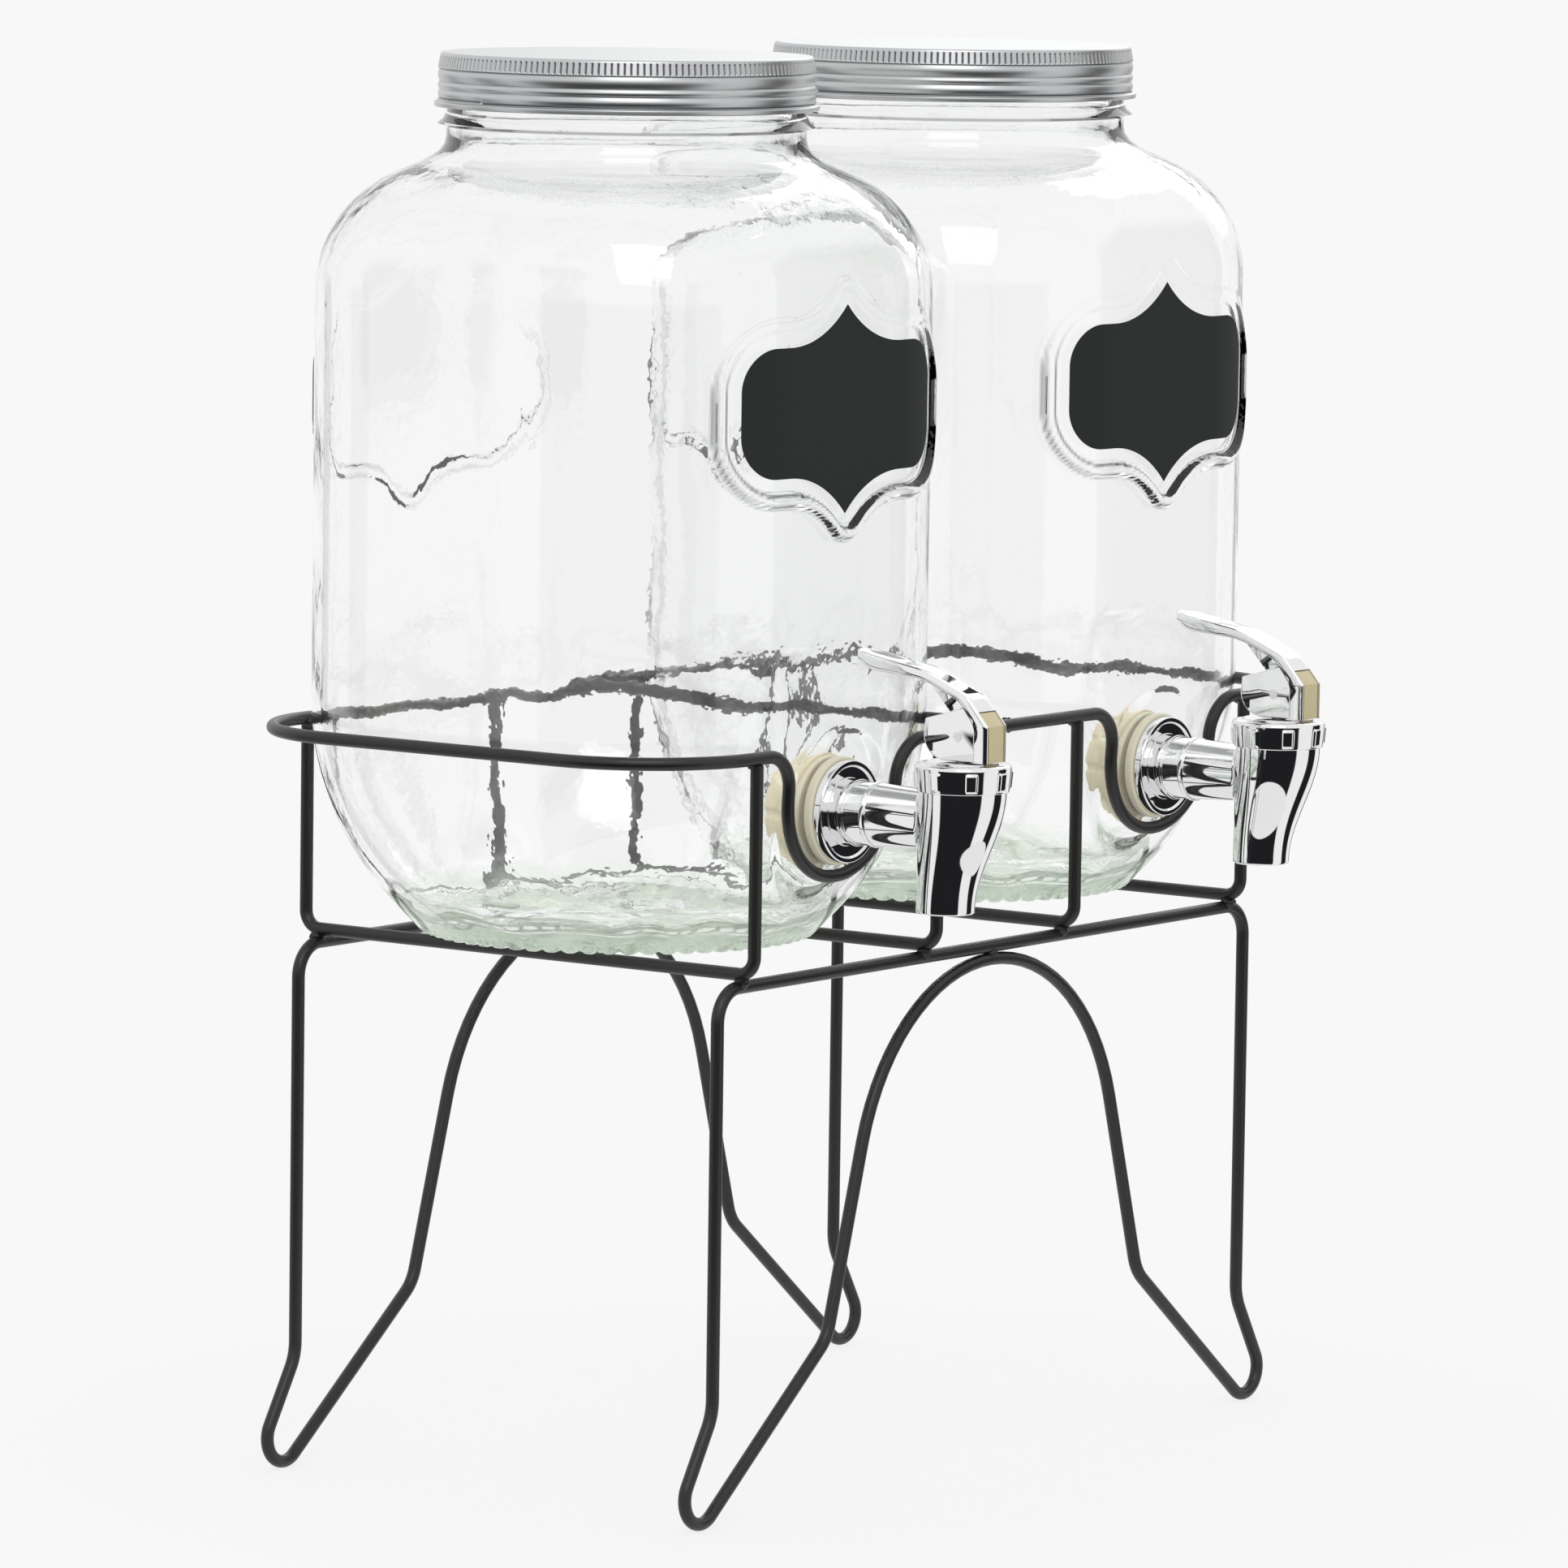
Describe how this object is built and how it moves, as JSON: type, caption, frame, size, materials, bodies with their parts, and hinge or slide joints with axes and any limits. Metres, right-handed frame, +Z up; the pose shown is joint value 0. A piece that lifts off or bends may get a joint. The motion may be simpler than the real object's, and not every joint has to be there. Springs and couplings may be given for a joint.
{
  "type": "double beverage dispenser",
  "caption": "Two rounded-square glass jars with screw lids, chalkboard labels and lever taps, side by side in a raised black wire stand.",
  "frame": {"origin": "middle of the whole object's footprint, on the surface it stands on", "axes": "+Z up, taps facing -Y, +X to the right when facing the taps"},
  "size_m": [0.354, 0.231, 0.4364],
  "materials": {
    "black_wire": "satin black coating",
    "clear_glass": "clear pressed glass with a faint green tint",
    "chalkboard": "matte dark panel",
    "ivory_rubber": "translucent ivory",
    "ivory_plastic": "ivory",
    "plated_plastic": "bright plating",
    "white_plastic": "white",
    "tin_plate": "silver sheet",
    "liner_foam": "white"
  },
  "bodies": {
    "stand": {"front_leg_frame": "black_wire", "rear_leg_frame": "black_wire", "top_rail": "black_wire", "cross_wire": "black_wire", "cradle_wire_1": "black_wire", "cradle_wire_2": "black_wire", "cradle_wire_3": "black_wire", "cradle_wire_4": "black_wire"},
    "left_jar": {"left_glass_jar": "clear_glass", "left_chalk_label": "chalkboard", "left_outer_gasket": "ivory_rubber", "left_inner_gasket": "ivory_rubber", "left_retaining_nut": "ivory_plastic", "left_tap_body": "plated_plastic", "left_bonnet_cap": "plated_plastic"},
    "left_valve": {"left_valve_stem": "white_plastic", "left_seat_cup": "ivory_rubber"},
    "left_lever": {"left_lever_shell": "plated_plastic", "left_lever_insert": "ivory_plastic"},
    "left_liner": {"left_lid_liner": "liner_foam"},
    "left_lid": {"left_lid_shell": "tin_plate"},
    "right_jar": {"right_glass_jar": "clear_glass", "right_chalk_label": "chalkboard", "right_outer_gasket": "ivory_rubber", "right_inner_gasket": "ivory_rubber", "right_retaining_nut": "ivory_plastic", "right_tap_body": "plated_plastic", "right_bonnet_cap": "plated_plastic"},
    "right_valve": {"right_valve_stem": "white_plastic", "right_seat_cup": "ivory_rubber"},
    "right_lever": {"right_lever_shell": "plated_plastic", "right_lever_insert": "ivory_plastic"},
    "right_liner": {"right_lid_liner": "liner_foam"},
    "right_lid": {"right_lid_shell": "tin_plate"}
  },
  "joints": [
    {"name": "left_jar_lift", "type": "slide", "parent": "stand", "child": "left_jar", "axis": [0, 0, 1], "range_m": [0, 0.08]},
    {"name": "left_lid_lift", "type": "slide", "parent": "left_jar", "child": "left_liner", "axis": [0, 0, 1], "range_m": [0, 0.016]},
    {"name": "left_lid_turn", "type": "hinge", "parent": "left_liner", "child": "left_lid", "pos_m": [-0.086, 0.0279, 0.4364], "axis": [0, 0, 1], "range_deg": [0, 1116]},
    {"name": "left_valve_lift", "type": "slide", "parent": "left_jar", "child": "left_valve", "axis": [0, 0, 1], "range_m": [0, 0.0013], "deforming": ["left_seat_cup"]},
    {"name": "left_lever_tilt", "type": "hinge", "parent": "left_valve", "child": "left_lever", "pos_m": [-0.086, -0.1006, 0.2374], "axis": [-1, 0, 0], "range_deg": [0, 16], "stiffness_Nm_per_rad": 0.0108, "springref_deg": -26.93},
    {"name": "right_jar_lift", "type": "slide", "parent": "stand", "child": "right_jar", "axis": [0, 0, 1], "range_m": [0, 0.08]},
    {"name": "right_lid_lift", "type": "slide", "parent": "right_jar", "child": "right_liner", "axis": [0, 0, 1], "range_m": [0, 0.016]},
    {"name": "right_lid_turn", "type": "hinge", "parent": "right_liner", "child": "right_lid", "pos_m": [0.086, 0.0279, 0.4364], "axis": [0, 0, 1], "range_deg": [0, 1116]},
    {"name": "right_valve_lift", "type": "slide", "parent": "right_jar", "child": "right_valve", "axis": [0, 0, 1], "range_m": [0, 0.0013], "deforming": ["right_seat_cup"]},
    {"name": "right_lever_tilt", "type": "hinge", "parent": "right_valve", "child": "right_lever", "pos_m": [0.086, -0.1006, 0.2374], "axis": [-1, 0, 0], "range_deg": [0, 16], "stiffness_Nm_per_rad": 0.0108, "springref_deg": -26.93}
  ],
  "couplings": [
    {"joint": "left_lid_lift", "follows": "left_lid_turn", "m_per_rad": 0.00080851},
    {"joint": "left_valve_lift", "follows": "left_lever_tilt", "m_per_rad": 0.00425},
    {"joint": "right_lid_lift", "follows": "right_lid_turn", "m_per_rad": 0.00080851},
    {"joint": "right_valve_lift", "follows": "right_lever_tilt", "m_per_rad": 0.00425}
  ]
}
